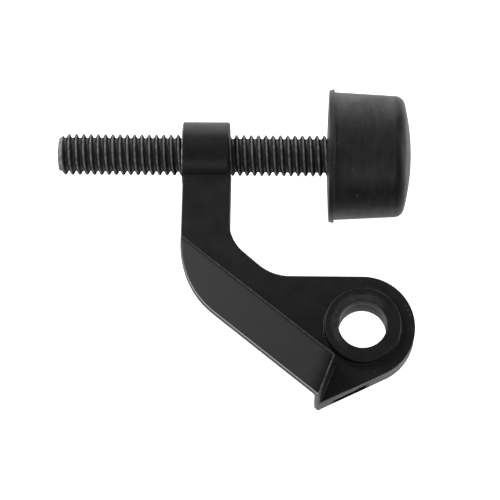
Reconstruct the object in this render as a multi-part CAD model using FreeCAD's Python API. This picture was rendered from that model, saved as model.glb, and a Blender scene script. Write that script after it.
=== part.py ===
import FreeCAD, Part
import math
import os
from FreeCAD import Vector

# Hinge pin door stop: a one-piece cast arm, a threaded stem that screws through the arm's boss,
# and a rubber bumper on the stem's end.
#
# Frame, in millimetres: the origin is on the hinge pin bore's axis, on the flat back of the hub.
# +Z runs along the bore to the front of the hub, +X along the stem to the bumper, and +Y from the
# bore towards the stem.

# Plate of the arm
plate_thickness = 5.3
arm_width = 9.15
diagonal_angle = 40.5
web_offset = 3.57
inner_elbow_radius = 8.0
hub_bend_radius = 9.0
outer_elbow_radius = 19.0

# Hub with the hinge pin bore
bore_diameter = 9.0
bore_chamfer = 0.2
hub_diameter = 19.6
ring_diameter = 14.3
ring_height = 1.85

# Boss that the stem screws through
boss_diameter = 12.8
boss_length = 8.95
boss_step = 0.2
boss_offset_x = 29.825
stem_offset_y = 35.05
stem_height = 1.9
boss_chamfer = 0.3

# Foot: a sloping ledge along the outer side of the diagonal
crease_offset = 8.8
foot_width = 7.82
foot_rise = 7.0
foot_end_along = 0.7
foot_end_angle = 70.5
foot_end_draft = 1.5
tip_wall_angle = 26.0
tip_radius = 0.2
ledge_depth = 2.1
recess_depth = 3.0
end_rib = 1.0

# Threaded stem with a round head inside the bumper
thread_diameter = 7.9
thread_pitch = 25.4 / 18
thread_depth = 0.74
crest_flat = 0.18
stem_chamfer = 1.2
stem_behind_arm = 24.2
neck_gap = 18.4
head_diameter = 17.0
head_thickness = 3.5
head_depth = 4.0

# Rubber bumper
lip_diameter = 25.84
lip_thickness = 0.85
back_dome = 0.4
body_root_diameter = 24.66
body_end_diameter = 23.16
bumper_length = 16.15
bumper_corner = 1.7
end_dome = 1.0

# Fits
thread_clearance = 0.05
socket_clearance = 0.05

# Worked out from the sizes above
bore_radius = bore_diameter / 2
hub_radius = hub_diameter / 2
thread_radius = thread_diameter / 2
arm_left = -boss_offset_x - arm_width / 2
arm_right = -boss_offset_x + arm_width / 2
boss_left = arm_left - boss_step
boss_right = boss_left + boss_length
stem_start = arm_left - stem_behind_arm
bumper_back = arm_right + neck_gap
rim_offset = crease_offset + foot_width
foot_top = plate_thickness + foot_rise
above_all = 2 * foot_top
beyond = 4 * (boss_offset_x + stem_offset_y)

# Directions in the plan: along the diagonal down to the tip, and out of its outer side
diagonal_turn = math.radians(diagonal_angle)
along = Vector(math.cos(diagonal_turn), -math.sin(diagonal_turn), 0)
outward = Vector(-math.sin(diagonal_turn), -math.cos(diagonal_turn), 0)

# Direction of the foot's end wall, and the way it faces
end_turn = math.radians(-diagonal_angle - foot_end_angle)
end_along = Vector(math.cos(end_turn), math.sin(end_turn), 0)
end_facing = Vector(-math.sin(end_turn), math.cos(end_turn), 0)

# The wall from the hub to the tip, and the way it faces
tip_turn = math.radians(tip_wall_angle)
tip_along = Vector(-math.cos(tip_turn), -math.sin(tip_turn), 0)
tip_facing = Vector(math.sin(tip_turn), -math.cos(tip_turn), 0)


def meet(point_a, way_a, point_b, way_b):
    """Point where two straight lines of the plan cross."""
    across = way_a.x * way_b.y - way_a.y * way_b.x
    gap = point_b - point_a
    reach = (gap.x * way_b.y - gap.y * way_b.x) / across
    return point_a + way_a * reach


def rounded_outline(corners):
    """Closed face through corners, each given as (point, radius of its rounding)."""
    edges = []
    ends = []
    for index, (point, radius) in enumerate(corners):
        to_last = (corners[index - 1][0] - point).normalize()
        to_next = (corners[(index + 1) % len(corners)][0] - point).normalize()
        half = to_last.getAngle(to_next) / 2
        if radius > 0:
            start = point + to_last * (radius / math.tan(half))
            end = point + to_next * (radius / math.tan(half))
            inward = (to_last + to_next).normalize()
            middle = point + inward * (radius / math.sin(half) - radius)
            ends.append((start, end, Part.Arc(start, middle, end).toShape()))
        else:
            ends.append((point, point, None))
    for index, (start, end, arc) in enumerate(ends):
        if arc:
            edges.append(arc)
        edges.append(Part.LineSegment(end, ends[(index + 1) % len(ends)][0]).toShape())
    return Part.Face(Part.Wire(edges))


def raised(face, low, high):
    """Upright solid over a plan face, from one height to another."""
    solid = face.extrude(Vector(0, 0, high - low))
    solid.translate(Vector(0, 0, low))
    return solid


def cylinder_x(radius, start, end):
    """Cylinder about the stem's axis between two places along it."""
    return Part.makeCylinder(radius, end - start, Vector(start, stem_offset_y, stem_height), Vector(1, 0, 0))


def turned_x(profile):
    """Solid turned about the stem's axis from (place along it, radius) points or edges."""
    wire = Part.Wire(profile)
    solid = Part.Face(wire).revolve(Vector(0, 0, 0), Vector(1, 0, 0), 360)
    solid.translate(Vector(0, stem_offset_y, stem_height))
    return solid


def profile_edges(points):
    """Straight edges through (place, radius) points, closed."""
    spots = [Vector(place, radius, 0) for place, radius in points]
    return [Part.LineSegment(a, b).toShape() for a, b in zip(spots, spots[1:] + spots[:1])]


def plate_corners(inset):
    """Corners of the arm's outline, with its outer side and left edge moved in by an inset."""
    left = Vector(arm_left + inset, 0, 0)
    right = Vector(arm_right, 0, 0)
    down = Vector(0, -1, 0)
    level = Vector(1, 0, 0)
    web_line = outward * web_offset
    rim_line = outward * (rim_offset - inset)
    hub_top = Vector(0, hub_radius, 0)
    hub_low = tip_facing * hub_radius
    return [
        (Vector(left.x, stem_offset_y, 0), 0),
        (meet(left, down, rim_line, along), outer_elbow_radius - inset),
        (meet(rim_line, along, hub_low, tip_along), tip_radius),
        (meet(hub_low, tip_along, hub_top, level), hub_radius),
        (meet(hub_top, level, web_line, along), hub_bend_radius),
        (meet(web_line, along, right, down), inner_elbow_radius),
        (Vector(right.x, stem_offset_y, 0), 0),
    ]


def end_wall_point():
    """Where the foot's end wall starts on the crease."""
    return outward * crease_offset + along * foot_end_along


def slope_start():
    """Where the crease leaves the arm's left edge, level with the front of the plate."""
    return meet(Vector(arm_left, 0, 0), Vector(0, 1, 0), outward * crease_offset, along)


def sloping_block(low, drop, stop, lean):
    """Block under a plane that rises towards the foot's end, drop below its top, ending stop short.

    The end leans outwards to its base by an angle."""
    run = (end_wall_point() - slope_start()).dot(end_facing)
    end = run - stop
    slope = foot_rise / run
    start = slope_start()
    top = plate_thickness - drop + slope * end
    base = end + (top - low) * math.tan(math.radians(lean))
    corners = [
        start + Vector(0, 0, low),
        start + end_facing * base + Vector(0, 0, low),
        start + end_facing * end + Vector(0, 0, top),
        start + Vector(0, 0, plate_thickness - drop),
    ]
    face = Part.Face(Part.makePolygon(corners + corners[:1]))
    face.translate(end_along * -beyond)
    return face.extrude(end_along * (2 * beyond))


def foot_side():
    """Everything on the outer side of the crease."""
    base = outward * crease_offset
    corners = [
        base - along * beyond,
        base + along * beyond,
        base + along * beyond + outward * beyond,
        base - along * beyond + outward * beyond,
    ]
    return raised(Part.Face(Part.makePolygon(corners + corners[:1])), -above_all, above_all)


def under_ledge():
    """Space under the ledge, between the rim and the web that is set back from it."""
    outer = raised(rounded_outline(plate_corners(-plate_thickness)), -above_all, above_all)
    web = raised(rounded_outline(plate_corners(recess_depth)), -above_all, above_all)
    band = outer.cut(web)
    return band.common(sloping_block(-above_all, ledge_depth, end_rib, 0))


def make_arm():
    """One-piece arm: plate, sloping foot, hub with its raised ring, and the threaded boss."""
    outline = rounded_outline(plate_corners(0))
    plate = raised(outline, 0, plate_thickness)
    column = raised(outline, 0, above_all)
    foot = column.common(sloping_block(0, 0, 0, foot_end_draft)).common(foot_side())
    ring = Part.makeCylinder(ring_diameter / 2, plate_thickness + ring_height)
    boss = turned_x(profile_edges([
        (boss_left, 0),
        (boss_left, boss_diameter / 2 - boss_chamfer),
        (boss_left + boss_chamfer, boss_diameter / 2),
        (boss_right, boss_diameter / 2),
        (boss_right, 0),
    ]))
    solid = plate.fuse([foot, ring, boss]).removeSplitter()
    solid = solid.cut(under_ledge())
    hub_length = plate_thickness + ring_height
    pin_bore = Part.makeCylinder(bore_radius, 2 * hub_length, Vector(0, 0, -hub_length / 2))
    mouth = Part.makeCone(bore_radius, bore_radius + 2 * bore_chamfer, 2 * bore_chamfer,
                          Vector(0, 0, hub_length - bore_chamfer))
    stem_bore = cylinder_x(thread_radius + thread_clearance, arm_left - arm_width, arm_right + arm_width)
    return solid.cut(pin_bore).cut(mouth).cut(stem_bore).removeSplitter()


def make_stem():
    """Stem with a ring groove for each turn of its thread, and a round head at the bumper's end."""
    head_start = bumper_back + head_depth
    root = thread_radius - thread_depth
    flank = thread_depth * math.tan(math.radians(30))
    points = [(stem_start, 0), (stem_start, thread_radius - stem_chamfer * 2 / 3)]
    points.append((stem_start + stem_chamfer, thread_radius))
    place = stem_start + stem_chamfer + crest_flat
    while place + thread_pitch < bumper_back:
        points.append((place, thread_radius))
        points.append((place + flank, root))
        points.append((place + thread_pitch - crest_flat - flank, root))
        points.append((place + thread_pitch - crest_flat, thread_radius))
        place += thread_pitch
    points.append((head_start, thread_radius))
    points.append((head_start, head_diameter / 2))
    points.append((head_start + head_thickness, head_diameter / 2))
    points.append((head_start + head_thickness, 0))
    return turned_x(profile_edges(points))


def cap_middle(top, way, height, reach):
    """Middle of a spherical cap's arc, from its top on the axis to its rim at a reach."""
    ball = (reach ** 2 + height ** 2) / (2 * height)
    half = math.asin(reach / ball) / 2
    return Vector(top + way * ball * (1 - math.cos(half)), ball * math.sin(half), 0)


def make_bumper():
    """Rubber cap: lip, tapered side, rounded corner and domed end, with a socket for the head."""
    lip_start = bumper_back + back_dome
    lip_radius = lip_diameter / 2
    side_start = Vector(lip_start + lip_thickness, body_root_diameter / 2, 0)
    end_place = bumper_back + bumper_length
    rim_place = end_place - end_dome
    side_end = Vector(rim_place, body_end_diameter / 2, 0)
    dome_rim = Vector(rim_place, body_end_diameter / 2 - bumper_corner, 0)
    side_way = (side_start - side_end).normalize()
    corner_start = side_end + side_way * bumper_corner
    corner_middle = side_end + (side_way + Vector(0, -1, 0)) * (bumper_corner * (1 - math.sqrt(0.5)))
    dome_middle = cap_middle(end_place, -1, end_dome, dome_rim.y)
    back_rim = Vector(lip_start, lip_radius, 0)
    back_middle = cap_middle(bumper_back, 1, back_dome, lip_radius)
    edges = [
        Part.Arc(Vector(bumper_back, 0, 0), back_middle, back_rim).toShape(),
        Part.LineSegment(back_rim, Vector(side_start.x, lip_radius, 0)).toShape(),
        Part.LineSegment(Vector(side_start.x, lip_radius, 0), side_start).toShape(),
        Part.LineSegment(side_start, corner_start).toShape(),
        Part.Arc(corner_start, corner_middle, dome_rim).toShape(),
        Part.Arc(dome_rim, dome_middle, Vector(end_place, 0, 0)).toShape(),
        Part.LineSegment(Vector(end_place, 0, 0), Vector(bumper_back, 0, 0)).toShape(),
    ]
    head_start = bumper_back + head_depth - socket_clearance
    head_end = bumper_back + head_depth + head_thickness + socket_clearance
    socket = cylinder_x(head_diameter / 2 + socket_clearance, head_start, head_end)
    neck = cylinder_x(thread_radius + socket_clearance, bumper_back - head_depth, head_start)
    return turned_x(edges).cut(socket.fuse(neck))


os.makedirs("parts", exist_ok=True)
pieces = {
    "cast_arm": make_arm(),
    "threaded_stem": make_stem(),
    "rubber_bumper": make_bumper(),
}
for name, shape in pieces.items():
    solids = shape.Solids
    if len(solids) == 1:
        shape = solids[0]
    shape.exportStep(os.path.join("parts", name + ".step"))
    print(name, len(solids), shape.isValid(), round(shape.Volume, 1), shape.BoundBox)
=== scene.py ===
import math
from types import SimpleNamespace

import bmesh
import bpy
import numpy as np
from mathutils import Matrix, Vector


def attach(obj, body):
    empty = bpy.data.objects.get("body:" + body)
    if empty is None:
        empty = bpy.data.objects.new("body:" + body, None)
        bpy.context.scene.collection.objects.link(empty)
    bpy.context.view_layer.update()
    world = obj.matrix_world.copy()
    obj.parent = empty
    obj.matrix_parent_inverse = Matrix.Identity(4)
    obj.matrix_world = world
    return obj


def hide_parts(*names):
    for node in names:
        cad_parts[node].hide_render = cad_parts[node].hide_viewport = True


# Hinge pin door stop: cast arm, threaded stem and rubber bumper.
# Shapes are worked out in millimetres in the part's own frame and put into the meshes in metres.
# The origin is on the hinge pin bore's axis, on the flat back of the hub. +Z runs along the bore to
# the front, +X along the stem to the bumper, and +Y from the bore towards the stem.
MM = 0.001

# Plate, shared with the CAD part as all these sizes are: its thickness, the arm's width, how far the
# diagonal's inner side lies out from the bore, and the radii of the bends
PLATE, ARM_WIDTH, WEB = 5.3, 9.15, 3.57
INNER_ELBOW, HUB_BEND, OUTER_ELBOW = 8.0, 9.0, 19.0

# Hub, bore and the raised ring round the bore
HUB_R, BORE_R = 9.8, 4.5
RING_R, RING_RISE = 7.15, 1.85

# Boss, round the stem's axis, and how far it stands out past the arm's left edge
BOSS_X, STEM_Y, STEM_Z = -29.825, 35.05, 1.9
BOSS_R, BOSS_LENGTH, BOSS_STEP = 6.4, 8.95, 0.2

# Foot: how far its crease lies out from the bore, its width and rise, where its end wall stands along
# the diagonal, the ledge over the recess, the rib that closes the recess, the tip's corner radius, and
# the angles in degrees
CREASE, FOOT_WIDTH, FOOT_RISE, FOOT_END = 8.8, 7.82, 7.0, 0.7
LEDGE, RECESS, END_RIB, TIP_CORNER = 2.1, 3.0, 1.0, 0.2
DIAGONAL, END_ANGLE, END_DRAFT, TIP_ANGLE = 40.5, 70.5, 1.5, 26.0

# Stem: thread, length behind the arm, length between the arm and the bumper, and the hidden head
PITCH, CREST_R, THREAD_DEPTH = 25.4 / 18, 3.95, 0.74
STEM_BEHIND, NECK = 24.2, 18.4
HEAD_R, HEAD_PLACE, HEAD_LENGTH = 8.5, 4.0, 3.5

# Bumper: length, domed back, lip, side that narrows to the end, front corner and domed end
BUMPER_LENGTH, BACK_DOME, LIP_LENGTH, LIP_R = 16.15, 0.4, 1.0, 12.92
SIDE_R, NARROWING, FRONT_CORNER, END_DOME = 12.33, 0.75, 2.0, 1.2

# Play between the thread and the boss, and between the head and its socket
CLEARANCE = 0.05

# Worked out from the sizes above
RING_TOP = PLATE + RING_RISE
FOOT_TOP = PLATE + FOOT_RISE
RIM = CREASE + FOOT_WIDTH
ARM_LEFT = BOSS_X - ARM_WIDTH / 2
ARM_RIGHT = BOSS_X + ARM_WIDTH / 2
BOSS_LEFT = ARM_LEFT - BOSS_STEP
BOSS_RIGHT = BOSS_LEFT + BOSS_LENGTH
STEM_START = ARM_LEFT - STEM_BEHIND
BUMPER_BACK = ARM_RIGHT + NECK
BUMPER_END = BUMPER_BACK + BUMPER_LENGTH
LIP_START = BUMPER_BACK + BACK_DOME
LIP_END = LIP_START + LIP_LENGTH
END_LEAN = math.tan(math.radians(END_DRAFT))


def plan_way(angle):
    """Unit direction in the plan at an angle in degrees from +X."""
    turn = math.radians(angle)
    return np.array([math.cos(turn), math.sin(turn)])


# Directions in the plan: down the diagonal to the tip, out of its outer side, out of the foot's end
# wall, and along and out of the straight wall that runs from the hub to the tip
ALONG = plan_way(-DIAGONAL)
OUTWARD = plan_way(-DIAGONAL - 90)
END_FACING = plan_way(90 - DIAGONAL - END_ANGLE)
TIP_ALONG = plan_way(180 + TIP_ANGLE)
TIP_FACING = plan_way(TIP_ANGLE - 90)

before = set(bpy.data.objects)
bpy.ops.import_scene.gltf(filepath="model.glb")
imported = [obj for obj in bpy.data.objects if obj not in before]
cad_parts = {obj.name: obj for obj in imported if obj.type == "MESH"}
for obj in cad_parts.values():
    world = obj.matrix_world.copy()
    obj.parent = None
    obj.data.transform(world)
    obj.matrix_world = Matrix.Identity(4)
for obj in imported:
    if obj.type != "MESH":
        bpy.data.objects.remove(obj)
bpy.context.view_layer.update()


# Meshes from points and faces

def put_mesh(name, points, faces, normals=None):
    """Mesh object from points in millimetres and faces of any equal length, smooth, at the origin."""
    mesh = bpy.data.meshes.new(name)
    sides = faces.shape[1]
    mesh.vertices.add(len(points))
    mesh.vertices.foreach_set("co", (points * MM).astype(np.float32).ravel())
    mesh.loops.add(faces.size)
    mesh.loops.foreach_set("vertex_index", faces.astype(np.int32).ravel())
    mesh.polygons.add(len(faces))
    mesh.polygons.foreach_set("loop_start", np.arange(0, faces.size, sides, dtype=np.int32))
    mesh.update(calc_edges=True)
    mesh.validate()
    mesh.polygons.foreach_set("use_smooth", np.ones(len(mesh.polygons), dtype=bool))
    if normals is not None:
        mesh.normals_split_custom_set_from_vertices(normals)
    mesh.update()
    piece = bpy.data.objects.new(name, mesh)
    bpy.context.collection.objects.link(piece)
    return piece


def grid_faces(rows, columns):
    """Quads of a grid of points, closed round its columns and open along its rows."""
    index = np.arange(rows * columns).reshape(rows, columns)
    low, high = index[:-1], index[1:]
    return np.stack([low, np.roll(low, -1, 1), np.roll(high, -1, 1), high], -1).reshape(-1, 4)


# Cast arm: its plan

# Radius of the plan's two corners that lie hidden inside the boss
BOSS_END_CORNER = 1.0


def meet(point_a, way_a, point_b, way_b):
    """Point where two straight lines of the plan cross."""
    across = way_a[0] * way_b[1] - way_a[1] * way_b[0]
    gap = point_b - point_a
    return point_a + way_a * ((gap[0] * way_b[1] - gap[1] * way_b[0]) / across)


def outline(inset):
    """Straight runs and arcs of the arm's plan, its outer side and left edge moved in by an inset.

    The corners are where neighbouring straight lines cross, each rounded to its radius by an arc
    whose ends lie radius / tan(half the corner's angle) from the corner. An arc is kept as its
    centre, radius, middle direction, half angle and whether it bulges outwards."""
    down, level = np.array([0.0, -1.0]), np.array([1.0, 0.0])
    left, right = np.array([ARM_LEFT + inset, 0.0]), np.array([ARM_RIGHT, 0.0])
    web_line, rim_line = OUTWARD * WEB, OUTWARD * (RIM - inset)
    hub_low, hub_top = TIP_FACING * HUB_R, np.array([0.0, HUB_R])
    corners = [
        (np.array([left[0], STEM_Y]), BOSS_END_CORNER),
        (meet(left, down, rim_line, ALONG), OUTER_ELBOW - inset),
        (meet(rim_line, ALONG, hub_low, TIP_ALONG), TIP_CORNER),
        (meet(hub_low, TIP_ALONG, hub_top, level), HUB_R),
        (meet(hub_top, level, web_line, ALONG), HUB_BEND),
        (meet(web_line, ALONG, right, down), INNER_ELBOW),
        (np.array([right[0], STEM_Y]), BOSS_END_CORNER),
    ]
    runs, arcs, ends = [], [], []
    for k, (point, radius) in enumerate(corners):
        back = corners[k - 1][0] - point
        ahead = corners[(k + 1) % len(corners)][0] - point
        back, ahead = back / np.linalg.norm(back), ahead / np.linalg.norm(ahead)
        half = math.acos(float(np.clip(back @ ahead, -1, 1))) / 2
        middle = (back + ahead) / np.linalg.norm(back + ahead)
        centre = point + middle * radius / math.sin(half)
        turn = back[1] * ahead[0] - back[0] * ahead[1]
        arcs.append((centre, radius, -middle, math.pi / 2 - half, 1.0 if turn > 0 else -1.0))
        reach = radius / math.tan(half)
        ends.append((point + back * reach, point + ahead * reach))
    for k in range(len(ends)):
        runs.append((ends[k][1], ends[(k + 1) % len(ends)][0]))
    return runs, arcs


def plan_distance(x, y, shape):
    """Signed distance in the plan to straight runs and arcs that join smoothly, negative inside.

    Each point takes the nearest run or arc, and its side of that one gives the sign."""
    best = np.full(x.shape, np.inf)
    signed = np.full(x.shape, np.inf)
    runs, arcs = shape
    for start, end in runs:
        way = end - start
        length = np.linalg.norm(way)
        way = way / length
        px, py = x - start[0], y - start[1]
        reach = np.clip(px * way[0] + py * way[1], 0, length)
        away = np.hypot(px - reach * way[0], py - reach * way[1])
        side = px * way[1] - py * way[0]
        near = away < best
        best = np.where(near, away, best)
        signed = np.where(near, np.sign(side) * away, signed)
    for centre, radius, middle, half, bulge in arcs:
        px, py = x - centre[0], y - centre[1]
        far = np.maximum(np.hypot(px, py), 1e-12)
        facing = (px * middle[0] + py * middle[1]) / far >= math.cos(half)
        away = np.where(facing, np.abs(far - radius), np.inf)
        near = away < best
        best = np.where(near, away, best)
        signed = np.where(near, bulge * (far - radius), signed)
    return signed


OUTLINE = outline(0.0)
WEB_OUTLINE = outline(RECESS)

# The foot's top starts where the crease meets the arm's left edge and ends at the end wall
SLOPE_START = meet(np.array([ARM_LEFT, 0.0]), np.array([0.0, 1.0]), OUTWARD * CREASE, ALONG)
END_POINT = OUTWARD * CREASE + ALONG * FOOT_END
SLOPE = FOOT_RISE / float((END_POINT - SLOPE_START) @ END_FACING)
TILT = math.cos(math.atan(SLOPE))


# Cast arm: its distance field

# Radii of the rounded edges and of the fillets
PLATE_EDGE, RIM_EDGE, CREASE_EDGE, END_EDGE = 0.2, 0.42, 0.2, 0.15
RECESS_CORNER, LEDGE_EDGE = 0.5, 0.3
RING_EDGE, BORE_EDGE, BOSS_EDGE, BOSS_BORE_EDGE = 0.25, 0.12, 0.15, 0.2
FILLET, RING_FILLET = 0.15, 0.12


def both(a, b, radius):
    """Where two solids overlap, with the edge between them rounded to a radius."""
    round_part = np.hypot(np.maximum(a + radius, 0), np.maximum(b + radius, 0))
    return np.minimum(np.maximum(a, b), -radius) + round_part


def either(a, b, radius):
    """Two solids joined, with a fillet of a radius between them."""
    return -both(-a, -b, radius)


def slab(z, top):
    """Distance to a level slab from the arm's flat back up to its top."""
    return np.abs(z - top / 2) - top / 2


def past_wall(x, y, facing, point):
    """Distance in the plan past a straight wall through a point, along the way that it faces."""
    return (x - point[0]) * facing[0] + (y - point[1]) * facing[1]


def foot_and_recess(x, y, z, plan):
    """Distances of the foot and of the recess below its ledge.

    The foot is the arm's plan cut by its sloping top, the crease and the leaning end wall. The top's
    height grows evenly towards the end wall. The recess lies one ledge below the top and is cut
    inwards to the plan's inset outline, up to a thin rib at the end wall."""
    web = plan_distance(x, y, WEB_OUTLINE)
    inner_side = CREASE - (x * OUTWARD[0] + y * OUTWARD[1])
    run = past_wall(x, y, END_FACING, SLOPE_START)
    past_end = past_wall(x, y, END_FACING, END_POINT)
    top = (z - PLATE - SLOPE * run) * TILT
    end_wall = (past_end - END_LEAN * (FOOT_TOP - z)) / math.hypot(1, END_LEAN)
    foot = both(both(plan, top, RIM_EDGE), inner_side, CREASE_EDGE)
    foot = both(both(foot, end_wall, END_EDGE), -z, END_EDGE)
    recess = both(both(top + LEDGE, -web, RECESS_CORNER), past_end + END_RIB, RECESS_CORNER)
    recess = both(both(recess, -run, RECESS_CORNER), inner_side, RECESS_CORNER)
    return foot, recess


def arm_distance(p):
    """Distance field of the cast arm at points p.

    The plate is the plan's distance field cut at its thickness. Ring, bore and boss are distances
    to an axis. Every edge is rounded and every inner corner filleted by joining the fields with a
    radius."""
    x, y, z = p[..., 0], p[..., 1], p[..., 2]
    plan = plan_distance(x, y, OUTLINE)
    foot, recess = foot_and_recess(x, y, z, plan)
    solid = either(both(plan, slab(z, PLATE), PLATE_EDGE), foot, FILLET)
    solid = both(solid, -recess, LEDGE_EDGE)

    from_pin = np.hypot(x, y)
    ring = both(from_pin - RING_R, slab(z, RING_TOP), RING_EDGE)
    solid = both(either(solid, ring, RING_FILLET), BORE_R - from_pin, BORE_EDGE)

    from_stem = np.hypot(y - STEM_Y, z - STEM_Z)
    boss = both(both(from_stem - BOSS_R, BOSS_LEFT - x, BOSS_EDGE), x - BOSS_RIGHT, BOSS_EDGE)
    return both(either(solid, boss, FILLET), CREST_R + CLEARANCE - from_stem, BOSS_BORE_EDGE)


# Cast arm: its surface

# Step between the points of a gradient, rounds of sliding onto the surface, and the least squared
# gradient that a slide is worked out with
SLOPE_STEP = 0.01
SETTLING_ROUNDS = 3
LEAST_SQUARED_SLOPE = 0.2


def slope_of(field, p):
    """Gradient of a field at points p by central differences."""
    ways = []
    for axis in range(3):
        shift = np.zeros(3)
        shift[axis] = SLOPE_STEP
        ways.append((field(p + shift) - field(p - shift)) / (2 * SLOPE_STEP))
    return np.stack(ways, -1)


def grid_step(axis):
    """Step of one place along an axis of the grid, counting the axes round."""
    return np.eye(3, dtype=int)[axis % 3]


def field_on_grid(field, low, counts, cell):
    """Values of a field at every place of a grid, one level of z at a time."""
    x, y, z = (low[axis] + cell * np.arange(counts[axis]) for axis in range(3))
    values = np.empty(counts)
    for k in range(counts[2]):
        level = np.stack(np.meshgrid(x, y, [z[k]], indexing="ij"), -1)
        values[:, :, k] = field(level)[:, :, 0]
    return values


def mean_crossings(values, cells):
    """For each cell, the mean of the places where the field is zero on its twelve edges, in cells."""
    total = np.zeros((len(cells), 3))
    crossings = np.zeros(len(cells))
    for axis in range(3):
        step = grid_step(axis)
        for i, j in np.ndindex(2, 2):
            start = cells + i * grid_step(axis + 1) + j * grid_step(axis + 2)
            a = values[tuple(start.T)]
            b = values[tuple((start + step).T)]
            crossed = (a < 0) != (b < 0)
            share = np.where(crossed, a / np.where(crossed, a - b, 1), 0)
            total += np.where(crossed[:, None], start + share[:, None] * step, 0)
            crossings += crossed
    return total / crossings[:, None]


def crossed_edge_quads(inside, number):
    """One quad for each grid edge that the surface crosses, through the four cells round that edge."""
    quads = []
    for axis in range(3):
        step, u, v = grid_step(axis), grid_step(axis + 1), grid_step(axis + 2)
        first = inside[tuple(slice(0, n - s) for n, s in zip(inside.shape, step))]
        second = inside[tuple(slice(s, n) for n, s in zip(inside.shape, step))]
        for leaving in (True, False):
            hit = np.argwhere((first == leaving) & (second != leaving))
            ring = [number[tuple((hit - shift).T)] for shift in (0 * u, u, u + v, v)]
            quads.append(np.stack(ring if leaving else ring[::-1], -1))
    return np.concatenate(quads)


def surface_of(field, low, high, cell):
    """Points, quads and normals of a field's zero surface.

    Every grid cell that the surface passes through gets one point, at the mean of the crossings on
    its edges. The points then slide down the field's gradient onto the surface, and the gradient
    there is the normal."""
    counts = np.ceil((high - low) / cell).astype(int) + 1
    values = field_on_grid(field, low, counts, cell)
    inside = values < 0
    last = counts - 1
    corners_inside = sum(inside[i:last[0] + i, j:last[1] + j, k:last[2] + k].astype(np.int8)
                         for i, j, k in np.ndindex(2, 2, 2))
    cells = np.argwhere((corners_inside > 0) & (corners_inside < 8))
    number = np.full(last, -1, dtype=np.int64)
    number[tuple(cells.T)] = np.arange(len(cells))
    points = low + cell * mean_crossings(values, cells)
    for _ in range(SETTLING_ROUNDS):
        way = slope_of(field, points)
        off = field(points) / np.maximum((way ** 2).sum(-1), LEAST_SQUARED_SLOPE)
        points = points - way * np.clip(off, -cell / 2, cell / 2)[:, None]
    way = slope_of(field, points)
    normals = way / np.linalg.norm(way, axis=1, keepdims=True)
    return points, crossed_edge_quads(inside, number), normals


def make_arm():
    """The cast arm as the zero surface of its distance field, on a grid that reaches past all of it."""
    cell, margin, below_tip = 0.22, 0.6, -15.4
    low = np.array([ARM_LEFT - margin, below_tip, STEM_Z - BOSS_R - margin])
    high = np.array([HUB_R, STEM_Y + BOSS_R, FOOT_TOP]) + margin
    points, quads, normals = surface_of(arm_distance, low, high, cell)
    return put_mesh("cast_arm_surface", points, quads, normals)


# Shapes round the stem's axis

def facing_out(points, quads):
    """Quads turned so that they face outwards, told by the sign of the volume that they close in."""
    a, b, c, d = (points[quads[:, k]] for k in range(4))
    volume = (np.cross(a, b) * c).sum() + (np.cross(a, c) * d).sum()
    return quads if volume >= 0 else quads[:, ::-1]


def close_seams(piece, sharpest):
    """Merges points that coincide, drops faces with no area and marks edges past an angle as sharp."""
    together, no_length = 0.002 * MM, 0.001 * MM
    work = bmesh.new()
    work.from_mesh(piece.data)
    bmesh.ops.remove_doubles(work, verts=work.verts, dist=together)
    bmesh.ops.dissolve_degenerate(work, dist=no_length, edges=work.edges)
    work.to_mesh(piece.data)
    work.free()
    piece.data.polygons.foreach_set("use_smooth", np.ones(len(piece.data.polygons), dtype=bool))
    piece.data.set_sharp_from_angle(angle=math.radians(sharpest))
    piece.data.update()


def full_turn(columns):
    """Angles of evenly spaced columns round the axis."""
    return np.arange(columns) * 2 * math.pi / columns


def around_stem(place, radius, turn):
    """Points round the stem's axis from places along it, radii and turns."""
    points = np.stack([place, STEM_Y + radius * np.cos(turn), STEM_Z + radius * np.sin(turn)], -1)
    return points.reshape(-1, 3)


def circles(profile, columns):
    """Points of one circle round the stem's axis for each (place, radius) row of a profile."""
    place = np.repeat(profile[:, :1], columns, 1)
    return around_stem(place, profile[:, 1:], full_turn(columns)[None, :])


def arc(centre, radius, start, end, count):
    """Points of a circular arc in a profile, from one angle in degrees to another."""
    t = np.radians(np.linspace(start, end, count))
    return np.stack([centre[0] + radius * np.cos(t), centre[1] + radius * np.sin(t)], -1)


# Half of the thread's profile, from the middle of a crest to the root: place along the axis and depth
# below the crest, over the crest's round edge, the straight flank and the root's round
THREAD_FLANK = np.array([
    (0.0, 0.0), (0.09, 0.0), (0.13, 0.035), (0.18, 0.11),
    (0.32, 0.37), (0.44, 0.61), (0.50, 0.70), (0.56, 0.735),
])
THREAD_COLUMNS = 72

# Place of the crests as a share of the pitch, the chamfer's depth at the stem's start and how fast it
# widens, and the length over which the grooves fade out inside the bumper
THREAD_PHASE = 0.725
CHAMFER_DEPTH, CHAMFER_SLOPE = 0.85, 0.72
GROOVE_FADE = 0.8


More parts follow.
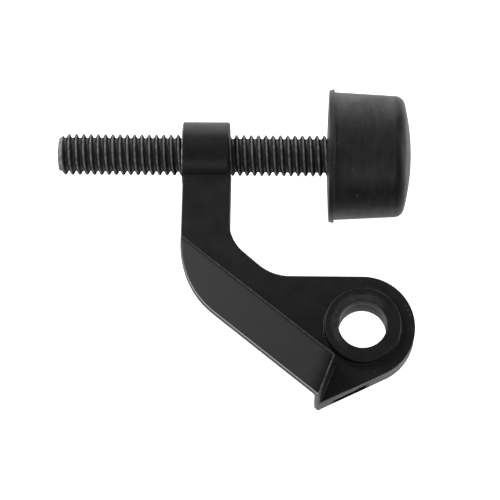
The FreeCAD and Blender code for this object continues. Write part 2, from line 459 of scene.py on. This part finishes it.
def thread_surface(end):
    """Points and quads of the right-handed thread, from the stem's start to an end inside the bumper.

    Columns are turns round the axis and rows the thread's profile, pitch after pitch. Each row moves
    one pitch along the axis in a full turn, so a column past the last one is the first column of the
    row one pitch further on. Rows are held inside the stem's length, a cone trims the start, and the
    grooves fade out inside the bumper."""
    mirrored = THREAD_FLANK[:0:-1]
    steps = np.concatenate([THREAD_FLANK[:, 0], [PITCH / 2], PITCH - mirrored[:, 0]])
    drops = np.concatenate([THREAD_FLANK[:, 1], [THREAD_DEPTH], mirrored[:, 1]])
    first = (math.floor(STEM_START / PITCH) - 2 + THREAD_PHASE) * PITCH
    pitches = int((end - first) / PITCH) + 3
    base = (first + np.arange(pitches)[:, None] * PITCH + steps).ravel()
    turn = full_turn(THREAD_COLUMNS)
    place = base[:, None] + PITCH * turn / (2 * math.pi)
    fade = np.clip((place - BUMPER_BACK - GROOVE_FADE) / GROOVE_FADE, 0, 1)
    radius = CREST_R - np.tile(drops, pitches)[:, None] * (1 - fade)
    cone = CREST_R - CHAMFER_DEPTH + np.maximum(place - STEM_START, 0) * CHAMFER_SLOPE
    points = around_stem(np.clip(place, STEM_START, end), np.minimum(radius, cone), turn)
    index = np.arange(place.size).reshape(place.shape)
    whole = len(base) - len(steps)
    ahead = np.concatenate([index[:whole, 1:], index[len(steps):, :1]], 1)
    quads = np.stack([index[:whole - 1], ahead[:-1], ahead[1:], index[1:whole]], -1).reshape(-1, 4)
    return points, quads


def make_stem():
    """The threaded stem: thread surface, flat start and the round head inside the bumper."""
    end = BUMPER_BACK + HEAD_PLACE
    head_end = end + HEAD_LENGTH
    cap_radii = (0.0, 1.2, 2.4, CREST_R - CHAMFER_DEPTH)
    start_cap = [(STEM_START, radius) for radius in cap_radii]
    head = [(end, CREST_R), (end, HEAD_R), (head_end, HEAD_R), (head_end, 0.0)]
    thread, thread_quads = thread_surface(end)
    points, quads = [thread], [thread_quads]
    count = len(thread)
    for profile in (start_cap, head):
        points.append(circles(np.array(profile), THREAD_COLUMNS))
        quads.append(grid_faces(len(profile), THREAD_COLUMNS) + count)
        count += len(points[-1])
    points, quads = np.concatenate(points), np.concatenate(quads)
    piece = put_mesh("threaded_stem_surface", points, facing_out(points, quads))
    close_seams(piece, sharpest=50)
    return piece


def socket_profile():
    """Socket of the bumper from its floor on the axis out to the bumper's back, round the stem's head."""
    floor = BUMPER_BACK + HEAD_PLACE + HEAD_LENGTH + CLEARANCE
    mouth = BUMPER_BACK + HEAD_PLACE - CLEARANCE
    wall, neck = HEAD_R + CLEARANCE, CREST_R + CLEARANCE
    neck_end, edge = BUMPER_BACK + 0.25, 0.05
    return [(floor, 0.0), (floor, wall), (mouth, wall), (mouth, neck), (neck_end, neck),
            (BUMPER_BACK + 2 * edge, neck + edge)]


def make_bumper():
    """Rubber cap turned from its profile: socket, domed back, lip, tapered side, corner and domed end.

    The back and the end are domes that fall away with the square of the radius, the side narrows
    evenly by its taper, and the lip and the corner are rounded with arcs."""
    back_edge, lip_slant, front_edge, lip_fillet = 0.16, 0.2, 0.1, 0.18
    columns, wide_rows, narrow_rows = 160, 14, 5
    side_end = BUMPER_END - END_DOME
    taper = NARROWING / (side_end - LIP_END)
    lean, dome_meets = math.degrees(math.atan(taper)), 11.5
    turn_place = side_end - FRONT_CORNER
    turn_r = SIDE_R - taper * (turn_place - LIP_END) - FRONT_CORNER
    corner = arc((turn_place, turn_r), FRONT_CORNER, 90 - lean, dome_meets, wide_rows)
    mouth_r, back_r = CREST_R + 0.2, LIP_R - 0.42
    back = np.linspace(mouth_r, back_r, wide_rows)
    back_face = np.stack([LIP_START - BACK_DOME * (1 - (back / LIP_R) ** 2), back], -1)
    dome_place, dome_r = corner[-1]
    front = np.linspace(dome_r, 0.0, wide_rows + 2)[1:]
    end_face = np.stack([BUMPER_END - (BUMPER_END - dome_place) * (front / dome_r) ** 2, front], -1)
    side_from, side_to = LIP_END + 0.6, turn_place - 0.2
    side = np.linspace(side_from, side_to, wide_rows - 2)
    profile = np.concatenate([
        socket_profile(),
        back_face,
        arc((LIP_START + back_edge, LIP_R - lip_slant - back_edge), back_edge, 170, 100, narrow_rows),
        arc((LIP_END - front_edge, LIP_R - front_edge), front_edge, 100, 0, narrow_rows),
        arc((LIP_END + lip_fillet, SIDE_R - 0.01 + lip_fillet), lip_fillet, 180, 270 - lean, narrow_rows),
        np.stack([side, SIDE_R - taper * (side - LIP_END)], -1),
        corner,
        end_face,
    ])
    points = circles(profile, columns)
    quads = facing_out(points, grid_faces(len(profile), columns))
    piece = put_mesh("rubber_bumper_surface", points, quads)
    close_seams(piece, sharpest=40)
    return piece


# Nodes of the finishes. A mask is a value between nothing and one.

def add(tree, kind, settings=None, **inputs):
    """Node with settings, and inputs by name (spaces as underscores) or as i and a number."""
    made = tree.nodes.new(kind)
    for key, value in (settings or {}).items():
        setattr(made, key, value)
    for key, value in inputs.items():
        numbered = key[0] == "i" and key[1:].isdigit()
        socket = made.inputs[int(key[1:]) if numbered else key.replace("_", " ")]
        if isinstance(value, bpy.types.NodeSocket):
            tree.links.new(value, socket)
        else:
            socket.default_value = value
    return made


def maths(tree, operation, *values, clamp=False):
    """Result of a Math node on values or sockets."""
    inputs = {"i%d" % k: value for k, value in enumerate(values)}
    return add(tree, "ShaderNodeMath", {"operation": operation, "use_clamp": clamp}, **inputs).outputs[0]


def times(tree, *values):
    """Product of values."""
    made = values[0]
    for value in values[1:]:
        made = maths(tree, "MULTIPLY", made, value)
    return made


def plus(tree, base, mask, gain):
    """Base value raised by a gain where a mask is one."""
    return maths(tree, "MULTIPLY_ADD", mask, gain, base)


def less(tree, mask, share=1.0):
    """One, less a share of it where a mask is one."""
    return maths(tree, "MULTIPLY_ADD", mask, -share, 1.0)


def ramp(tree, value, low, high, start=0.0, end=1.0):
    """Value carried smoothly from start at low to end at high."""
    smooth = {"interpolation_type": "SMOOTHSTEP"}
    return add(tree, "ShaderNodeMapRange", smooth, i0=value, i1=low, i2=high, i3=start, i4=end).outputs[0]


def until(tree, value, low, high):
    """Mask that is one up to a low value and falls smoothly to nothing at a high one."""
    return ramp(tree, value, low, high, 1.0, 0.0)


def band(tree, value, low, high, soft):
    """Mask between low and high, fading to nothing over a soft width on both sides of each."""
    rise = ramp(tree, value, low - soft, low + soft)
    return times(tree, rise, until(tree, value, high - soft, high + soft))


def vector_value(tree, operation, a, b):
    """Number that a Vector Math node makes of two vectors."""
    return add(tree, "ShaderNodeVectorMath", {"operation": operation}, i0=a, i1=b).outputs["Value"]


def past(tree, place, facing, start):
    """Millimetres that a place lies past a plane, from the way it faces and its distance from the origin."""
    reach = vector_value(tree, "DOT_PRODUCT", place, (*facing, 0.0))
    return maths(tree, "MULTIPLY_ADD", reach, 1 / MM, -float(start))


def from_axis(tree, a, b, centre=(0.0, 0.0)):
    """Millimetres from an axis, from the two coordinates in metres across it and its place in them."""
    squares = []
    for value, middle in zip((a, b), centre):
        off = maths(tree, "SUBTRACT", value, middle * MM)
        squares.append(maths(tree, "MULTIPLY", off, off))
    return maths(tree, "DIVIDE", maths(tree, "SQRT", maths(tree, "ADD", *squares)), MM)


def noise(tree, place, scale, detail=2.0, rough=0.5):
    """Noise value at object coordinates in metres, with a scale in waves per millimetre."""
    made = add(tree, "ShaderNodeTexNoise", Vector=place, Scale=scale / MM, Detail=detail, Roughness=rough)
    return made.outputs[0]


def grey(tree, value):
    """Plain grey from one value."""
    return add(tree, "ShaderNodeCombineColor", i0=value, i1=value, i2=value).outputs[0]


def new_group(name, inputs, outputs):
    """Empty node group with named inputs and outputs. Returns it, what it is given and its results."""
    group = bpy.data.node_groups.new(name, "ShaderNodeTree")
    for label, kind in inputs.items():
        group.interface.new_socket(label, in_out="INPUT", socket_type="NodeSocket" + kind)
    for label in outputs:
        group.interface.new_socket(label, in_out="OUTPUT", socket_type="NodeSocketFloat")
    given = group.nodes.new("NodeGroupInput").outputs
    results = group.nodes.new("NodeGroupOutput").inputs
    return group, given, results


def grain_group():
    """Shared fine grain: a value round 0.5 from a fine and a broad noise, and the fine one as height."""
    inputs = {"Place": "Vector", "Waves": "Float"}
    group, given, results = new_group("surface_grain", inputs, ("Value", "Height"))
    broad_waves = maths(group, "MULTIPLY", given["Waves"], 0.13)
    fine = add(group, "ShaderNodeTexNoise", Vector=given["Place"], Scale=given["Waves"], Detail=3.0)
    broad = add(group, "ShaderNodeTexNoise", Vector=given["Place"], Scale=broad_waves, Detail=2.0)
    half_fine = maths(group, "MULTIPLY", fine.outputs[0], 0.5)
    group.links.new(plus(group, half_fine, broad.outputs[0], 0.5), results["Value"])
    group.links.new(fine.outputs[0], results["Height"])
    return group


def nick_group():
    """Shared small nick: a mask that is one round its centre and fades out towards its radius."""
    inputs = {"Place": "Vector", "Centre": "Vector", "Radius": "Float"}
    group, given, results = new_group("nick", inputs, ("Mask",))
    away = vector_value(group, "DISTANCE", given["Place"], given["Centre"])
    core = maths(group, "MULTIPLY", given["Radius"], 0.3)
    group.links.new(until(group, away, core, given["Radius"]), results["Mask"])
    return group


GRAIN = grain_group()
NICK = nick_group()
NICK_LIFT = 0.06

# Span that the values of a noise mostly fill, and a narrower one for sharper patches
SPAN, NARROW_SPAN = (0.3, 0.7), (0.35, 0.65)


def grain(tree, place, waves):
    """Value and height outputs of the shared grain, with its waves per millimetre."""
    made = add(tree, "ShaderNodeGroup", {"node_tree": GRAIN}, Place=place, Waves=waves / MM)
    return made.outputs["Value"], made.outputs["Height"]


def nicks(tree, place, spots):
    """Mask of small marks, one at each (x, y, z, radius) in millimetres."""
    total = 0.0
    for x, y, z, radius in spots:
        made = add(tree, "ShaderNodeGroup", {"node_tree": NICK}, Place=place,
                   Centre=(x * MM, y * MM, z * MM), Radius=radius * MM)
        total = maths(tree, "ADD", total, made.outputs["Mask"])
    return total


def black_finish(name):
    """Material with a principled shader. Returns it with its tree, shader and object coordinates."""
    material = bpy.data.materials.new(name)
    material.use_nodes = True
    tree = material.node_tree
    shader = tree.nodes["Principled BSDF"]
    place = add(tree, "ShaderNodeTexCoord").outputs["Object"]
    return material, tree, shader, place


def roughen(tree, shader, height, strength, depth):
    """Fine unevenness from a height, up to a depth in millimetres."""
    bump = add(tree, "ShaderNodeBump", Strength=strength, Distance=depth * MM, Height=height)
    tree.links.new(bump.outputs[0], shader.inputs["Normal"])


def matt_at_grazing(tree, shader, level, share=1.0, fade=(0.86, 0.97)):
    """Specular level that varies by a share over the surface and fades away where it is seen edge on."""
    facing = add(tree, "ShaderNodeLayerWeight", Blend=0.5).outputs["Facing"]
    kept = maths(tree, "MULTIPLY", ramp(tree, facing, *fade, level, 0.0), share)
    shader.inputs["Specular IOR Level"].default_value = level
    tree.links.new(kept, shader.inputs["Specular IOR Level"])


# Coating of the cast arm, with its wear, painted highlights and painted shade. Places and widths are in
# millimetres.

# Ways in the plan that the wear and the painted light go by, and ways that surfaces with painted highlight
# and painted shade face
LEFTWARD, STEMWARD, UPPER_LEFT = (-1.0, 0.0), (0.0, 1.0), (-0.7, 0.71)
OUT_SIDEWAYS, TIPWARD = (-0.8, -0.6, 0.0), (-0.55, -0.83, 0.0)

# Tone and roughness over the grain, how far painted highlights and the rubbed patch lift the tone, and
# how far a share of the tone or of the gloss is cut, on the ring and as painted shade
COATING_TONE, COATING_ROUGHNESS, COATING_GLOSS = (0.0088, 0.015), (0.36, 0.46), 0.3
FOOT_HIGHLIGHT_LIFT, RIM_HIGHLIGHT_LIFT, BOSS_HIGHLIGHT_LIFT, RUBBED_RING_LIFT = 0.055, 0.55, 0.3, 0.02
TRIMMED_SHADE_DARKER, RING_DARKER = 0.4, 0.25
END_WALL_SHADE_CUT, SIDE_WALL_SHADE_CUT = 0.38, 0.75

# Nicks as x, y, z and radius
COATING_NICKS = [
    (8.08, 4.18, PLATE, 0.2), (8.45, 3.31, PLATE, 0.22), (8.82, 2.35, PLATE, 0.22),
    (8.43, -0.36, PLATE, 0.15), (-5.44, 6.48, PLATE, 0.16), (-3.75, 5.23, PLATE, 0.14),
    (-0.4, 8.88, PLATE, 0.14), (1.05, 7.2, RING_TOP - 0.2, 0.38),
    (2.2, -8.6, PLATE, 0.2), (5.6, -7.6, PLATE, 0.18),
]


def arm_measures(tree, place):
    """What the wear, the painted highlights and the painted shade of the cast arm go by, at each place of
    its surface.

    Distances are up from the flat back, past the crease, past the foot's end wall, from the boss's
    lower side towards the stem, and from the two axes. facing is the surface's own direction,
    upward its part towards the front, and uneven a noise between nothing and one."""
    parts = add(tree, "ShaderNodeSeparateXYZ", Vector=place).outputs
    facing = add(tree, "ShaderNodeTexCoord").outputs["Normal"]
    return SimpleNamespace(
        place=place,
        facing=facing,
        upward=add(tree, "ShaderNodeSeparateXYZ", Vector=facing).outputs[2],
        up=maths(tree, "DIVIDE", parts[2], MM),
        past_crease=past(tree, place, OUTWARD, CREASE),
        past_end=past(tree, place, END_FACING, END_POINT @ END_FACING),
        above_boss_low=past(tree, place, STEMWARD, STEM_Y - BOSS_R),
        from_pin=from_axis(tree, parts[0], parts[1]),
        from_stem=from_axis(tree, parts[1], parts[2], (STEM_Y, STEM_Z)),
        uneven=noise(tree, place, 0.9, 3.0),
    )


def foot_highlight_and_shade(tree, arm):
    """Painted highlight in a bright line on the foot's top along the crease and the end, and painted shade
    beside it, where the gloss is cut.

    The shade grows towards the end with the power 1.5 of the distance, and only covers the top."""
    on_foot = times(tree, ramp(tree, arm.up, PLATE - 0.1, PLATE + 0.02),
                    ramp(tree, arm.past_crease, -0.06, 0.02), until(tree, arm.past_end, 0.06, 0.12))
    crease_share, end_share, line_width = 0.6, 1.5, 0.26
    crease_line = times(tree, band(tree, arm.past_crease, 0.0, line_width, 0.06), crease_share)
    at_top = ramp(tree, arm.up, FOOT_TOP - 0.35, FOOT_TOP - 0.2, 0.0, end_share)
    end_line = times(tree, band(tree, arm.past_end, -0.22, 0.1, 0.06), at_top)
    # Painted highlight: the lines along the crease and the end are lit up in the base colour
    line = times(tree, on_foot, maths(tree, "MAXIMUM", crease_line, end_line),
                 ramp(tree, arm.uneven, *SPAN, 0.4, 1.6))

    # Painted shade: the gloss is cut in a band beside the crease, and more and more towards the end
    shade_start, shade_width, shade_power = 3.2, 2.9, 1.5
    near_crease = times(tree, band(tree, arm.past_crease, 0.3, 0.6, 0.08), crease_share)
    into_shade = maths(tree, "DIVIDE", maths(tree, "ADD", arm.past_end, shade_start), shade_width)
    near_end = maths(tree, "POWER", maths(tree, "MAXIMUM", into_shade, 0.0), shade_power)
    darker = maths(tree, "MAXIMUM", near_crease, near_end)
    shade = maths(tree, "MULTIPLY", on_foot, darker, clamp=True)
    return line, times(tree, shade, ramp(tree, arm.upward, 0.5, 0.8))


def bore_and_ring(tree, arm):
    """Dull turned rings inside the bore, and a ragged rubbed patch on the upper left of the ring's top."""
    in_bore = until(tree, arm.from_pin, BORE_R + 0.03, BORE_R + 0.08)
    one_way = {"noise_dimensions": "1D"}
    rings = add(tree, "ShaderNodeTexNoise", one_way, W=arm.up, Scale=0.9, Detail=1.0).outputs[0]
    bored = times(tree, in_bore, ramp(tree, rings, *SPAN, 0.95, 0.7))
    on_left = maths(tree, "DIVIDE", past(tree, arm.place, UPPER_LEFT, 0.0), arm.from_pin)
    raggedness = 2.0
    ragged = plus(tree, arm.from_pin, arm.uneven, raggedness)
    rubbed = times(tree, until(tree, ragged, 6.7, 7.1), ramp(tree, on_left, -0.4, 0.3),
                   ramp(tree, arm.up, RING_TOP - 0.25, RING_TOP - 0.1), less(tree, in_bore))
    return bored, times(tree, rubbed, ramp(tree, arm.uneven, *NARROW_SPAN, 0.6, 1.4))


def trimmed_strip_shade(tree, arm):
    """Dark strip with a wavering top edge, where the wall between the hub and the tip was trimmed: the
    trimmed facet is real, its darkness is painted shade.
    """
    strip_start, strip_end, waver = 3.4, 11.2, 2.4
    wall = ramp(tree, past(tree, arm.place, TIP_FACING, HUB_R), -0.25, -0.1)
    strip = band(tree, past(tree, arm.place, TIP_ALONG, 0.0), strip_start, strip_end, 0.8)
    top = plus(tree, arm.up, noise(tree, arm.place, 0.3), -waver)
    return times(tree, wall, strip, until(tree, top, 1.3, 1.8))


def rim_highlight_and_shade(tree, arm):
    """Along the arm's left and outer side: a painted highlight in a line on the rounded rim, and painted
    shade on the wall below it.
    """
    by_left_edge = ramp(tree, past(tree, arm.place, LEFTWARD, -ARM_LEFT - 1), 0.0, 0.5)
    at_side = maths(tree, "MAXIMUM", ramp(tree, arm.past_crease, 2.0, 3.0), by_left_edge)
    # Painted shade: the gloss is cut on the wall below the rim, which faces out sideways
    sideways = vector_value(tree, "DOT_PRODUCT", arm.facing, OUT_SIDEWAYS)
    side_wall_shade = times(tree, ramp(tree, sideways, 0.6, 0.85), until(tree, arm.upward, 0.2, 0.48), at_side,
                      until(tree, arm.past_end, -1.3, -1.0))
    tipward = vector_value(tree, "DOT_PRODUCT", arm.facing, TIPWARD)
    # Painted highlight: a line along the rounded rim, lit up in the base colour
    line = times(tree, ramp(tree, arm.upward, 0.46, 0.7), until(tree, arm.upward, 0.82, 0.95),
                 ramp(tree, tipward, 0.2, 0.6), ramp(tree, arm.up, 0.8 * PLATE, PLATE), at_side,
                 until(tree, arm.above_boss_low, -1.5, -0.8))
    return line, side_wall_shade


def boss_rim_highlight(tree, arm):
    """Uneven painted highlight in a line round the rim of the boss's free end."""
    past_rim = past(tree, arm.place, LEFTWARD, -BOSS_LEFT - 0.22)
    return times(tree, ramp(tree, arm.from_stem, BOSS_R - 0.3, BOSS_R - 0.15),
                 ramp(tree, past_rim, -0.06, 0.06), ramp(tree, arm.above_boss_low, 1.0, 3.0),
                 ramp(tree, arm.uneven, 0.35, 0.6, 0.4, 1.3))


def coating():
    """Semi-matt black coating on the cast arm.

    Grain sets its tone and roughness. The crease, the foot's end and the rims carry painted highlights,
    the ring's top has a rubbed patch, the nicks are lighter, and the trimmed strip is darker with
    painted shade. The gloss is cut in the bore, and as painted shade beside the lines, on the trimmed
    strip, on the end wall and on the outer side's wall."""
    material, tree, shader, place = black_finish("black_coating")
    value, height = grain(tree, place, 2.5)
    arm = arm_measures(tree, place)
    foot_highlight, shade = foot_highlight_and_shade(tree, arm)
    bored, rubbed_ring = bore_and_ring(tree, arm)
    trimmed = trimmed_strip_shade(tree, arm)
    rim_line, side_wall_shade = rim_highlight_and_shade(tree, arm)
    boss_highlight = boss_rim_highlight(tree, arm)
    above_plate = ramp(tree, arm.up, PLATE + 0.3, PLATE + 0.5)
    on_ring = times(tree, above_plate, until(tree, arm.past_crease, 0.0, 0.2))
    # Painted shade: the gloss is cut on the foot's end wall
    end_wall = times(tree, ramp(tree, arm.past_end, 0.02, 0.1), ramp(tree, arm.past_crease, -0.05, 0.05),
                     above_plate)

    # Painted shade darkens the trimmed strip
    tone = times(tree, ramp(tree, value, *SPAN, *COATING_TONE), less(tree, trimmed, TRIMMED_SHADE_DARKER))
    # Painted highlight along the crease and the foot's end; the ring is darker
    tone = times(tree, plus(tree, tone, foot_highlight, FOOT_HIGHLIGHT_LIFT), less(tree, on_ring, RING_DARKER))
    # Painted highlight along the rounded rim
    tone = plus(tree, tone, rim_line, RIM_HIGHLIGHT_LIFT)
    # Painted highlight round the rim of the boss's free end
    tone = plus(tree, tone, boss_highlight, BOSS_HIGHLIGHT_LIFT)
    tone = plus(tree, tone, rubbed_ring, RUBBED_RING_LIFT)
    tone = plus(tree, tone, nicks(tree, place, COATING_NICKS), NICK_LIFT)
    tree.links.new(grey(tree, tone), shader.inputs["Base Color"])
    tree.links.new(ramp(tree, value, *SPAN, *COATING_ROUGHNESS), shader.inputs["Roughness"])
    roughen(tree, shader, height, 0.12, 0.02)

    # Painted shade cuts the gloss beside the foot's lines, on the trimmed strip, on the end wall and on the
    # outer side's wall; the gloss is cut in the bore too
    share = times(tree, less(tree, shade), less(tree, bored), less(tree, trimmed),
                  less(tree, end_wall, END_WALL_SHADE_CUT), less(tree, side_wall_shade, SIDE_WALL_SHADE_CUT))
    matt_at_grazing(tree, shader, COATING_GLOSS, share)
    return material


# Black oxide of the stem

# Tone of the dark steel, how far wear and the painted highlight on the crests lift it, roughness and gloss
STEEL_TONE, STEEL_LIFT, STEEL_ROUGHNESS, STEEL_GLOSS = 0.034, 0.14, 0.38, 0.25


def oxide():
    """Black oxide steel, lighter on the thread's crests from wear and as a painted highlight, and freshly
    cut at its free end.
    """
    material, tree, shader, place = black_finish("black_steel")
    parts = add(tree, "ShaderNodeSeparateXYZ", Vector=place).outputs
    wear = noise(tree, place, 1.2, 4.0, 0.6)
    # Painted highlight: the crests are lighter in the base colour, partly from wear
    crest_radius = plus(tree, from_axis(tree, parts[1], parts[2], (STEM_Y, STEM_Z)), wear, 0.3)
    crest = ramp(tree, crest_radius, CREST_R - 0.02, CREST_R + 0.15)
    cut_end = until(tree, parts[0], (STEM_START + 0.5) * MM, (STEM_START + 1.1) * MM)
    worn_and_highlit = maths(tree, "MAXIMUM", crest, times(tree, cut_end, 1.6))
    tone = plus(tree, STEEL_TONE, times(tree, worn_and_highlit, ramp(tree, wear, *NARROW_SPAN, 0.6, 1.4)), STEEL_LIFT)
    tree.links.new(grey(tree, tone), shader.inputs["Base Color"])
    shader.inputs["Roughness"].default_value = STEEL_ROUGHNESS
    matt_at_grazing(tree, shader, STEEL_GLOSS, fade=(0.4, 0.75))
    return material


# Rubber of the bumper. Places and widths are in millimetres.

# Tone and roughness over the grain, how far streaks and the speckled lip lift the tone, and how far
# painted shade cuts a share of the tone or of the gloss
RUBBER_TONE, RUBBER_ROUGHNESS, RUBBER_GLOSS = (0.0185, 0.0245), (0.4, 0.48), 0.25
STREAK_LIFT, LIP_LIFT = 0.0028, 0.011
CORNER_DARKER, FLANK_SHADE_CUT = 0.35, 0.48

# How dense the streaks lie along each axis, and nicks as x, y, z and radius
STREAKS_ROUND_IT = (1.0, 0.3, 0.3)
RUBBER_NICKS = [
    (-4.94, 33.06, 13.9, 0.3), (-2.03, 28.45, 12.25, 0.3),
    (-1.14, 24.7, 8.4, 0.34), (1.29, 44.4, 9.6, 0.3),
]


def rubber():
    """Moulded black rubber, with faint streaks round it, smudges, a speckled lip and a few nicks.

    Painted shade darkens its tone and gloss in uneven patches round its front corner, and cuts its gloss in
    a band along its lower flank."""
    material, tree, shader, place = black_finish("black_rubber")
    value, height = grain(tree, place, 1.6)
    stretch = {"operation": "MULTIPLY"}
    drawn_out = add(tree, "ShaderNodeVectorMath", stretch, i0=place, i1=STREAKS_ROUND_IT).outputs[0]
    streak = noise(tree, drawn_out, 0.9, 3.0, 0.6)
    smudge = noise(tree, place, 0.16, 3.0, 0.55)
    speckle = ramp(tree, noise(tree, place, 2.2), 0.45, 0.65)
    parts = add(tree, "ShaderNodeSeparateXYZ", Vector=place).outputs
    x, y, z = (maths(tree, "DIVIDE", parts[axis], MM) for axis in range(3))
    on_lip = until(tree, x, LIP_END - 0.04, LIP_END + 0.02)
    # Painted shade: uneven patches round the front corner are darker in tone and gloss
    by_corner = band(tree, x, BUMPER_END - 3.3, BUMPER_END - 2.0, 0.3)
    corner_shade = less(tree, times(tree, by_corner, ramp(tree, smudge, 0.35, 0.6)), CORNER_DARKER)
    # Painted shade: the gloss is cut in a band along the lower flank
    flank = times(tree, band(tree, plus(tree, z, smudge, 2.0), 5.6, 10.6, 0.8), until(tree, y, 27.0, 30.0))

    tone = ramp(tree, value, *SPAN, *RUBBER_TONE)
    tone = plus(tree, tone, ramp(tree, streak, *SPAN, -1.0, 1.0), STREAK_LIFT)
    tone = plus(tree, times(tree, tone, corner_shade), times(tree, on_lip, speckle), LIP_LIFT)
    tone = plus(tree, tone, nicks(tree, place, RUBBER_NICKS), NICK_LIFT)
    tree.links.new(grey(tree, tone), shader.inputs["Base Color"])
    tree.links.new(ramp(tree, value, *SPAN, *RUBBER_ROUGHNESS), shader.inputs["Roughness"])
    roughen(tree, shader, height, 0.15, 0.03)

    share = times(tree, ramp(tree, smudge, *NARROW_SPAN, 0.8, 1.2), ramp(tree, streak, *SPAN, 0.85, 1.15),
                  corner_shade, less(tree, flank, FLANK_SHADE_CUT))
    matt_at_grazing(tree, shader, RUBBER_GLOSS, share, fade=(0.9, 0.99))
    return material


# The three pieces, each on its body

def place_piece(piece, body, node, material):
    """Puts a finished piece on its body in place of a CAD node, with its material."""
    piece.data.materials.append(material)
    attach(piece, body)
    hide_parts(node)


place_piece(make_arm(), "arm", "cast_arm", coating())
place_piece(make_stem(), "stem", "threaded_stem", oxide())
place_piece(make_bumper(), "bumper", "rubber_bumper", rubber())


# Floor, light and camera, in metres

FLOOR_HALF, FLOOR_LEVEL, FLOOR_GREY = 3.0, -0.013, 0.8

# The floor's glow in reflections along y: from where, to where, and the glow at each
PALE_GLOW = (-0.035, -0.008, 0.03, 0.62)
WHITE_GLOW = (0.05, 0.12, 0.0, 0.5)
WORLD_LIGHT = 0.17

# Lamps that face the origin: name, place, side of the square and power in watts
LAMPS = [
    ("left_softbox", (-0.65, 0.455, 0.585), 0.58, 5.8),
    ("top_softbox", (0.05, 0.62, 0.17), 0.36, 1.08),
    ("low_left_softbox", (-0.55, -0.42, 0.36), 0.16, 0.5),
    ("right_card", (0.55, 0.05, 0.18), 0.34, 1.3),
    ("low_softbox", (0.0, -0.45, 0.38), 0.2, 0.32),
]

# The camera at the photograph's viewing angle: its place, its right and up directions, the sensor and
# the focal length in millimetres, and the shift of the picture as shares of its width
CAMERA_PLACE = (-0.008908, -0.100746, 0.364164)
CAMERA_RIGHT = (0.99943572, 0.01837594, -0.02811702)
CAMERA_UP = (-0.00887884, 0.95183817, 0.30647228)
SENSOR_WIDTH, FOCAL_LENGTH = 36, 144
SHIFT = (-0.001, 0.001)


def make_floor():
    """Plain pale floor that is white to the camera and pale matt paint to the light.

    In reflections it is nearly dark below the hub, pale from the hub to the stem and white well past
    the stem."""
    mesh = bpy.data.meshes.new("floor")
    corners = [(-1, -1), (1, -1), (1, 1), (-1, 1)]
    points = [(x * FLOOR_HALF, y * FLOOR_HALF, FLOOR_LEVEL) for x, y in corners]
    mesh.from_pydata(points, [], [(0, 1, 2, 3)])
    floor = bpy.data.objects.new("floor", mesh)
    bpy.context.collection.objects.link(floor)
    material = bpy.data.materials.new("pale_floor")
    material.use_nodes = True
    tree = material.node_tree
    shader = tree.nodes["Principled BSDF"]
    shader.inputs["Base Color"].default_value = (FLOOR_GREY, FLOOR_GREY, FLOOR_GREY, 1)
    shader.inputs["Roughness"].default_value = 1.0
    shader.inputs["Specular IOR Level"].default_value = 0.0
    seen = add(tree, "ShaderNodeLightPath").outputs
    place = add(tree, "ShaderNodeTexCoord").outputs["Object"]
    y = add(tree, "ShaderNodeSeparateXYZ", Vector=place).outputs[1]
    lit = maths(tree, "ADD", ramp(tree, y, *PALE_GLOW), ramp(tree, y, *WHITE_GLOW))
    mirrored = maths(tree, "MAXIMUM", seen["Is Glossy Ray"], seen["Is Transmission Ray"])
    reflected = times(tree, mirrored, lit)
    glow = maths(tree, "MAXIMUM", seen["Is Camera Ray"], reflected)
    shader.inputs["Emission Color"].default_value = (1, 1, 1, 1)
    tree.links.new(glow, shader.inputs["Emission Strength"])
    mesh.materials.append(material)


def light_world():
    """Even white light from all round."""
    world = bpy.data.worlds.new("world")
    bpy.context.scene.world = world
    world.use_nodes = True
    background = world.node_tree.nodes["Background"]
    background.inputs["Color"].default_value = (1, 1, 1, 1)
    background.inputs["Strength"].default_value = WORLD_LIGHT


def lamp(name, place, side, power):
    """Square soft lamp at a place, facing the origin."""
    data = bpy.data.lights.new(name, "AREA")
    data.size = side
    data.energy = power
    piece = bpy.data.objects.new(name, data)
    bpy.context.collection.objects.link(piece)
    piece.location = place
    piece.rotation_euler = (-Vector(place)).to_track_quat("-Z", "Y").to_euler()


def set_camera():
    """Camera from its place and directions. It looks against the cross product of right and up."""
    data = bpy.data.cameras.new("camera")
    data.sensor_width = SENSOR_WIDTH
    data.lens = FOCAL_LENGTH
    data.shift_x, data.shift_y = SHIFT
    data.clip_start = 0.01
    camera = bpy.data.objects.new("camera", data)
    bpy.context.collection.objects.link(camera)
    columns = np.stack([CAMERA_RIGHT, CAMERA_UP, np.cross(CAMERA_RIGHT, CAMERA_UP), CAMERA_PLACE], -1)
    camera.matrix_world = Matrix([*columns.tolist(), [0, 0, 0, 1]])
    bpy.context.scene.camera = camera


make_floor()
light_world()
for name, place, side, power in LAMPS:
    lamp(name, place, side, power)
set_camera()
bpy.context.scene.view_settings.view_transform = "Standard"
